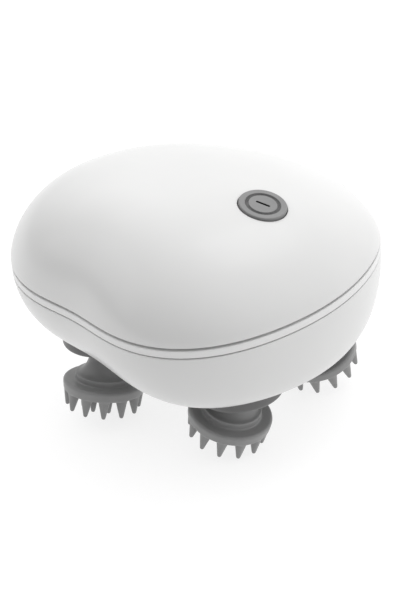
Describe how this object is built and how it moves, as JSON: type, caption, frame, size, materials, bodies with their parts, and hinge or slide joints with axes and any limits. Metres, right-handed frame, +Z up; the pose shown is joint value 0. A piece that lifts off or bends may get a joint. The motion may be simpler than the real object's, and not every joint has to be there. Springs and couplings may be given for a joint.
{
  "type": "electric scalp massager",
  "caption": "Rounded handheld electric scalp massager: white two-part shell, grey power button, tilted rotating silicone heads with soft fingers underneath.",
  "frame": {"origin": "centre of the bounding box, at the level of the lowest fingertips", "axes": "+Z up through the crown of the cover, +X forwards along the longest dimension to the power button, +Y to the left"},
  "size_m": [0.1158, 0.1011, 0.0761],
  "materials": {
    "shell_white": "satin",
    "band_white": "satin",
    "head_silicone": "matt",
    "button_silicone": "matt",
    "collar_grey": "satin",
    "seal_black": "matt",
    "flap_white": "matt",
    "gear_ivory": "satin",
    "frame_black": "matt",
    "steel": "brushed",
    "bronze": "satin",
    "magnet_grey": "matt",
    "copper_laminate": "satin",
    "cell_wrap": "satin",
    "board_green": "satin",
    "component_black": "satin",
    "switch_grey": "satin"
  },
  "bodies": {
    "body": {"battery_cell": "cell_wrap", "battery_cradle": "frame_black", "board_components": "component_black", "board_screws": "steel", "casing_screws": "steel", "charge_board": "board_green", "charge_socket": "steel", "control_board": "board_green", "gearbox_base": "frame_black", "gearbox_cover": "frame_black", "gearbox_screws": "steel", "head_collar_front_left": "collar_grey", "head_collar_front_right": "collar_grey", "head_collar_rear_left": "collar_grey", "head_collar_rear_right": "collar_grey", "idler_axle": "steel", "lower_casing": "shell_white", "mid_band": "band_white", "motor_can": "steel", "motor_end_bell": "frame_black", "motor_magnets": "magnet_grey", "motor_screws": "steel", "output_bush_front_left": "bronze", "output_bush_front_right": "bronze", "output_bush_rear_left": "bronze", "output_bush_rear_right": "bronze", "shaft_seal_front_left": "seal_black", "shaft_seal_front_right": "seal_black", "shaft_seal_rear_left": "seal_black", "shaft_seal_rear_right": "seal_black", "shell_gasket": "seal_black", "sun_axle": "steel", "switch_board": "board_green", "switch_screws": "steel", "tact_switch": "switch_grey", "top_cover": "shell_white"},
    "button": {"button_cap": "button_silicone", "button_plunger": "frame_black", "switch_actuator": "switch_grey"},
    "sun": {"sun_gear": "gear_ivory"},
    "idler": {"idler_gear": "gear_ivory"},
    "rotor": {"motor_rotor": "copper_laminate", "motor_pinion": "bronze"},
    "flap": {"port_flap": "flap_white"},
    "head_front_right": {"output_gear_front_right": "gear_ivory", "output_shaft_front_right": "steel", "head_hub_front_right": "frame_black", "massage_head_front_right": "head_silicone"},
    "head_front_left": {"output_gear_front_left": "gear_ivory", "output_shaft_front_left": "steel", "head_hub_front_left": "frame_black", "massage_head_front_left": "head_silicone"},
    "head_rear_right": {"output_gear_rear_right": "gear_ivory", "output_shaft_rear_right": "steel", "head_hub_rear_right": "frame_black", "massage_head_rear_right": "head_silicone"},
    "head_rear_left": {"output_gear_rear_left": "gear_ivory", "output_shaft_rear_left": "steel", "head_hub_rear_left": "frame_black", "massage_head_rear_left": "head_silicone"}
  },
  "joints": [
    {"name": "sun_spin", "type": "hinge", "parent": "body", "child": "sun", "pos_m": [0.0063, 0, 0.0395], "axis": [0, 0, 1], "continuous": true},
    {"name": "idler_spin", "type": "hinge", "parent": "body", "child": "idler", "pos_m": [-0.0153, 0, 0.0455], "axis": [0, 0, 1], "continuous": true},
    {"name": "rotor_spin", "type": "hinge", "parent": "body", "child": "rotor", "pos_m": [-0.0003, 0, 0.0565], "axis": [0, 0, 1], "continuous": true},
    {"name": "head_front_right_spin", "type": "hinge", "parent": "body", "child": "head_front_right", "pos_m": [0.03172, -0.01774, 0.0239], "axis": [0, 0, 1], "continuous": true},
    {"name": "head_front_left_spin", "type": "hinge", "parent": "body", "child": "head_front_left", "pos_m": [0.02871, 0.02142, 0.0239], "axis": [0, 0, 1], "continuous": true},
    {"name": "head_rear_right_spin", "type": "hinge", "parent": "body", "child": "head_rear_right", "pos_m": [-0.01799, -0.01926, 0.0239], "axis": [0, 0, 1], "continuous": true},
    {"name": "head_rear_left_spin", "type": "hinge", "parent": "body", "child": "head_rear_left", "pos_m": [-0.02065, 0.01531, 0.0239], "axis": [0, 0, 1], "continuous": true},
    {"name": "button_press", "type": "slide", "parent": "body", "child": "button", "axis": [-0.2926, 0, -0.9562], "range_m": [0, 0.0006], "stiffness_N_per_m": 800, "springref_m": -0.0003},
    {"name": "flap_hinge", "type": "hinge", "parent": "body", "child": "flap", "pos_m": [-0.0554, 0, 0.03738], "axis": [0, -1, 0], "range_deg": [0, 100]}
  ],
  "couplings": [
    {"joint": "idler_spin", "follows": "sun_spin", "ratio": -5},
    {"joint": "rotor_spin", "follows": "sun_spin", "ratio": 20},
    {"joint": "head_front_right_spin", "follows": "sun_spin", "ratio": -1.3846},
    {"joint": "head_front_left_spin", "follows": "sun_spin", "ratio": -1.3846},
    {"joint": "head_rear_right_spin", "follows": "sun_spin", "ratio": -1.3846},
    {"joint": "head_rear_left_spin", "follows": "sun_spin", "ratio": -1.3846}
  ]
}
